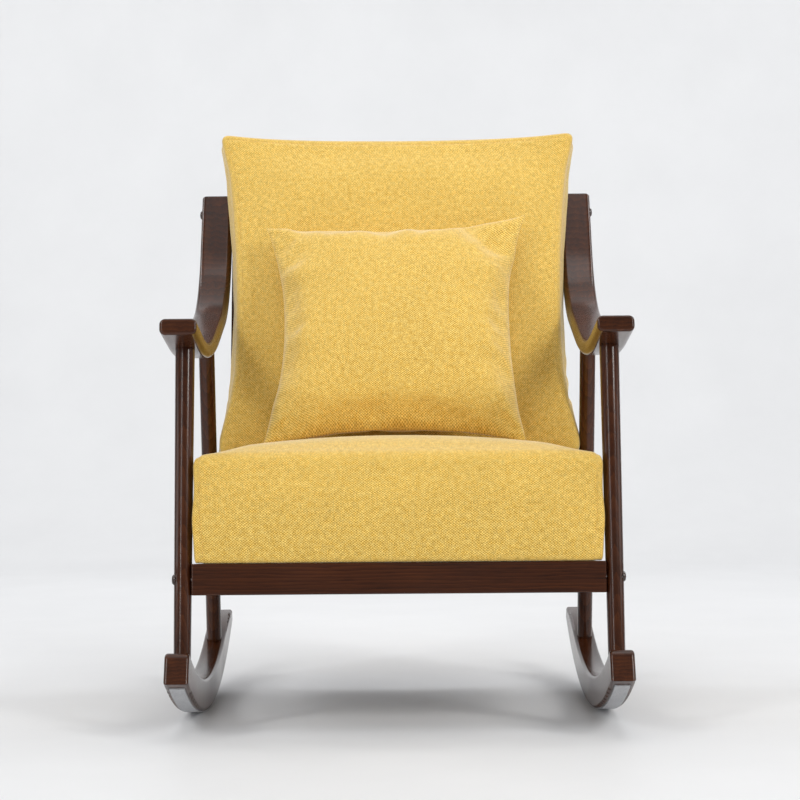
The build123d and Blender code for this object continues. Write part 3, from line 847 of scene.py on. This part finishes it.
def back_stitch_row(pad):
    """Vertices along the front panel's seam, up one side, across the top and down the other side."""
    row = back_seam(pad, 1)
    across, up = pad.flat[row, 0], pad.flat[row, 1]
    reach = back_half[:2] - BACK_SEAM_IN
    left = across < -reach[0] + SAME_PLACE
    right = across > reach[0] - SAME_PLACE
    top = up > reach[1] - SAME_PLACE
    keep = left | top | right
    run = np.where(left, up, np.where(top, 1 + across, 3 - up))
    order = np.argsort(run[keep])
    return row[keep][order]


back_pad = make_back_cushion()
back_origin = back_middle @ back_axes
back_slide = next(joint for joint in frame["joints"] if joint["name"] == "back_cushion_out")
for side, sign in SIDES.items():
    for stop in BACK_SLIDE_STOPS:
        travel = np.array(back_slide["axis"]) * back_slide["range_m"][1] * stop
        arm_surface = surface_of(nodes[side + "_arm"], -travel, SHARED_AXES)
        press_out(back_pad.piece, back_origin, back_axes, arm_surface, (-sign, 0, 0))
press_out(back_pad.piece, back_origin, back_axes, seat_surface, (0, 0, 1))
back_surface = surface_of(back_pad.piece, back_origin, back_axes)
settle(back_pad.piece, back_origin, back_axes, "back_cushion", "back_cushion")
back_pad.piece.data.materials.append(fabric)
add_stitches(
    "back_seam_stitches",
    [stitch_path(back_pad.piece, back_stitch_row(back_pad), back_origin, back_axes)],
    "back_cushion",
)


# Throw pillow: two panels sewn at a knife edge, filled, with pulled-in sides and full corners
PILLOW_CELLS = 80
PILLOW_PANEL_PLACES = (-0.5 * MM, 0.5 * MM)
PILLOW_LEAN = math.radians(32)
PILLOW_WAISTS = (0.12, 0.05)
PILLOW_SAGS = (0.03, 0.075)
PILLOW_EAR = 19 * MM
PILLOW_EDGE_HALF_THICKNESS = 0.4 * MM
PUCKER_DEPTH = 3.2 * MM
PUCKER_REACH = 0.10
PUCKER_SLANTS = (0.15, -0.1)
PUCKER_PHASES = (1.9, 0.4)
# Waves along the seam that make the gathers: share of the depth, turns along the side, shift
PUCKER_WAVES = ((1.0, 10.5, 1.0), (0.6, 19, 2.3), (0.3, 33, 1.0))
PILLOW_EDGE_FALL = 0.46
PILLOW_FILL = 0.86
PILLOW_TILT = math.radians(0.4)
PILLOW_SIZE = (1.06, 1.08)
PILLOW_SHIFT = (2.0 * MM, -3 * MM)

pillow_axes = local_axes((1, 0, 0), (0, math.sin(PILLOW_LEAN), math.cos(PILLOW_LEAN)))
pillow_low, pillow_high = node_extent("throw_pillow", pillow_axes)
pillow_half = (pillow_high - pillow_low) / 2
pillow_middle = (pillow_high + pillow_low) / 2
pillow_side = pillow_half[0]


def place_pillow(flat):
    u, v = flat[:, 0] / pillow_side, flat[:, 1] / pillow_side
    points = flat.copy()
    points[:, 0] *= 1 - np.where(u < 0, *PILLOW_WAISTS) * (1 - v ** 2)
    points[:, 1] *= 1 - np.where(v > 0, *PILLOW_SAGS) * (1 - u ** 2)
    ear = (np.maximum(u, 0) * np.maximum(v, 0)) ** 4 * PILLOW_EAR
    points[:, :2] += ear[:, None]
    dome = pillow_half[2] * PILLOW_FILL * ((1 - u ** 2) * (1 - v ** 2)) ** PILLOW_EDGE_FALL
    points[:, 2] = np.sign(flat[:, 2]) * (dome + PILLOW_EDGE_HALF_THICKNESS)
    return points


def puckers(flat):
    """Small gathers that run in from the pillow's seam."""
    u, v = flat[:, 0] / pillow_side, flat[:, 1] / pillow_side
    inwards = (1 - np.maximum(np.abs(u), np.abs(v))) / PUCKER_REACH
    sideways = np.abs(u) > np.abs(v)
    run = np.where(sideways, v + PUCKER_SLANTS[0] * u, u + PUCKER_SLANTS[1] * v)
    phase = np.where(sideways, *PUCKER_PHASES) * np.sign(np.where(sideways, u, v))
    wave = sum(share * np.sin(turns * run + shift * phase) for share, turns, shift in PUCKER_WAVES)
    return PUCKER_DEPTH * wave * inwards * np.exp(1 - inwards) * np.sign(flat[:, 2])


def make_pillow():
    line = spaced(pillow_side, 2 * pillow_side / PILLOW_CELLS)
    pad = Pad("throw_pillow_cover", [line, line, np.array(PILLOW_PANEL_PLACES)], place_pillow)
    edge = np.flatnonzero(np.abs(pad.flat[:, :2]).max(1) > pillow_side - SAME_PLACE)
    inflate(
        pad.piece, pressure=3.0, frames=20, cap=14 * MM, calm=3, seams=edge, shrink=0.03, stiffness=14.0,
        bending=0.4,
    )
    points = points_of(pad.piece)
    centre = (points.max(0) + points.min(0)) / 2
    points -= centre
    points[:, :2] *= 2 * pillow_side * np.array(PILLOW_SIZE) / np.ptp(points, axis=0)[:2]
    points[:, 2] += puckers(pad.flat)
    cosine, sine = math.cos(PILLOW_TILT), math.sin(PILLOW_TILT)
    points[:, :2] = points[:, :2] @ np.array([[cosine, sine], [-sine, cosine]])
    set_points(pad.piece, points)
    subdivide(pad.piece)
    return pad


pillow_pad = make_pillow()
pillow_origin = pillow_middle @ pillow_axes + np.array(PILLOW_SHIFT) @ pillow_axes[:2]
press_out(pillow_pad.piece, pillow_origin, pillow_axes, back_surface, (0, -1, 0))
press_out(pillow_pad.piece, pillow_origin, pillow_axes, seat_surface, (0, 0, 1))
settle(pillow_pad.piece, pillow_origin, pillow_axes, "throw_pillow", "throw_pillow")
pillow_pad.piece.data.materials.append(fabric)


# ---------------------------------------------------------------- finishes of the CAD parts

# Middle of the rockers' arc and of the arms' bend in the side view
ROCKING_RADIUS = 0.860
TOUCH_Y = -0.0108
ARM_TURN = (0.02, 1.12)

straight_finishes = {
    "X": ("front_seat_rail", "rear_seat_rail", "back_top_rail", "back_lower_rail", "seat_slat", "back_slat"),
    "Y": ("seat_rail", "seat_cleat"),
    "Z": ("front_leg", "rear_leg", "back_stile"),
}


def dress(node, material):
    mesh = nodes[node].data
    mesh.materials.clear()
    mesh.materials.append(material)


GRAIN_OFFSET = 0.37


def finish_for(node, number):
    """Material of a CAD node, by its name. Each wooden part gets its own stretch of grain."""
    offset = GRAIN_OFFSET * number
    if "bolts" in node or "nuts" in node or "screws" in node:
        return steel
    if "dowels" in node:
        return beech
    if "caps" in node:
        return caps
    if "strip" in node:
        return strip
    if node.endswith("_rocker"):
        return stained_wood(node + "_wood", "Y", (TOUCH_Y, ROCKING_RADIUS), offset)
    if node.endswith("_arm"):
        return stained_wood(node + "_wood", "Y", ARM_TURN, offset)
    for along, words in straight_finishes.items():
        if any(word in node for word in words):
            return stained_wood(node + "_wood", along, None, offset)
    raise ValueError(node)


steel = steel_material()
beech = plain_wood("beech_dowel", (0.62, 0.44, 0.26), (0.46, 0.30, 0.16))
caps = cap_material()
strip = strip_material()
cushions = ("seat_cushion", "back_cushion", "throw_pillow")
for number, node in enumerate(sorted(set(nodes) - set(cushions))):
    dress(node, finish_for(node, number))

floor = make_stage()
floor.data.materials.append(stage_material())
